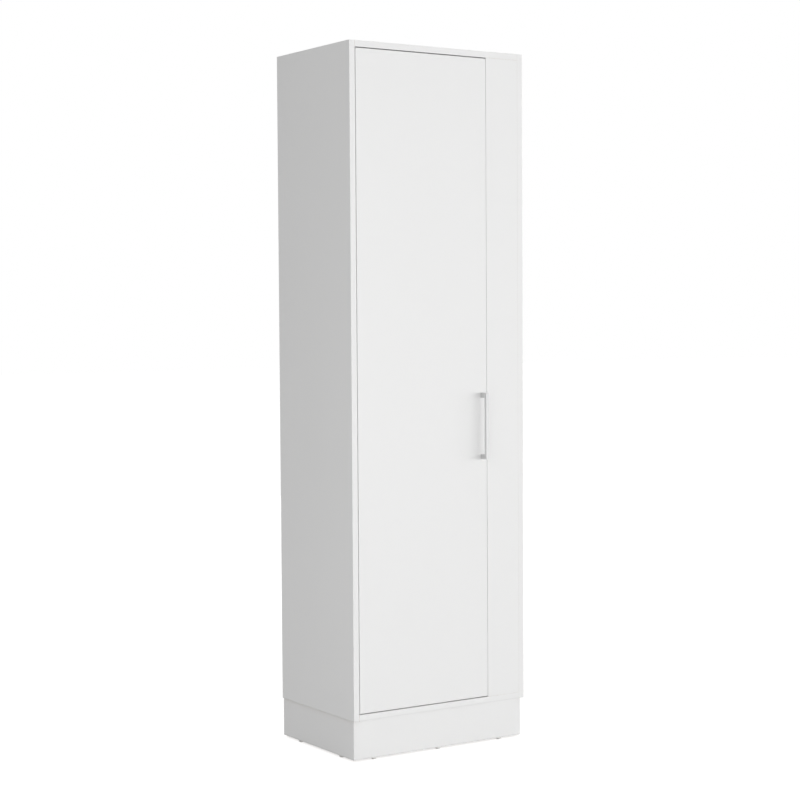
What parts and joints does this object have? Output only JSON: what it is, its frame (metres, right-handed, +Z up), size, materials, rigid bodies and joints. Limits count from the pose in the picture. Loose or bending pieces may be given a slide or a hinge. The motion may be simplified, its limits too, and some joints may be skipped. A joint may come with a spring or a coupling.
{
  "type": "broom cupboard",
  "caption": "Tall narrow white board cupboard on a recessed plinth, with a flush inset door on concealed hinges, a fixed filler panel beside it and a slim metal bar handle.",
  "frame": {"origin": "on the floor, under the middle of the whole object's box, handle included", "axes": "+Z up, the front with the door and handle faces -Y, +X to the right for someone facing the door"},
  "size_m": [0.53, 0.391, 1.8],
  "materials": {
    "white_board": "white melamine, matt, on particleboard",
    "white_hardboard": "white-lacquered hardboard",
    "beech": "plain fluted beech",
    "zinc_casting": "bare zinc casting",
    "plated_steel": "zinc-plated",
    "nickel_steel": "nickel-plated",
    "handle_metal": "fine brushed, matt",
    "white_plastic": "moulded, matt",
    "ferrite": "sintered, dark grey"
  },
  "bodies": {
    "carcass": {"left_side_panel": "white_board", "right_side_panel": "white_board", "top_panel": "white_board", "bottom_panel": "white_board", "fixed_shelf": "white_board", "filler_panel": "white_board", "back_panel": "white_hardboard", "plinth_front_board": "white_board", "plinth_rear_board": "white_board", "plinth_left_board": "white_board", "plinth_right_board": "white_board", "plinth_centre_brace": "white_board", "wood_dowels": "beech", "cam_locks": "zinc_casting", "cam_bolts": "plated_steel", "back_nails": "plated_steel", "plinth_corner_blocks": "white_plastic", "plinth_block_screws": "plated_steel", "floor_glides": "white_plastic", "wall_bracket_left": "plated_steel", "wall_bracket_right": "plated_steel", "wall_bracket_screws": "plated_steel", "hinge_1_arm": "nickel_steel", "hinge_1_plate": "nickel_steel", "hinge_2_arm": "nickel_steel", "hinge_2_plate": "nickel_steel", "hinge_3_arm": "nickel_steel", "hinge_3_plate": "nickel_steel", "hinge_4_arm": "nickel_steel", "hinge_4_plate": "nickel_steel", "hinge_plate_screws": "plated_steel", "hinge_arm_screws": "plated_steel", "catch_housing": "white_plastic", "catch_magnet": "ferrite", "catch_screws": "plated_steel"},
    "door": {"door_panel": "white_board", "handle_bar": "handle_metal", "handle_upper_post": "handle_metal", "handle_lower_post": "handle_metal", "handle_screws": "plated_steel", "hinge_1_cup": "nickel_steel", "hinge_2_cup": "nickel_steel", "hinge_3_cup": "nickel_steel", "hinge_4_cup": "nickel_steel", "hinge_pins": "nickel_steel", "hinge_cup_screws": "plated_steel", "strike_plate": "plated_steel", "strike_screws": "plated_steel"}
  },
  "joints": [
    {"name": "door_swing", "type": "hinge", "parent": "carcass", "child": "door", "pos_m": [-0.228, -0.161, 0.9525], "axis": [0, 0, -1], "range_deg": [0, 100]}
  ]
}
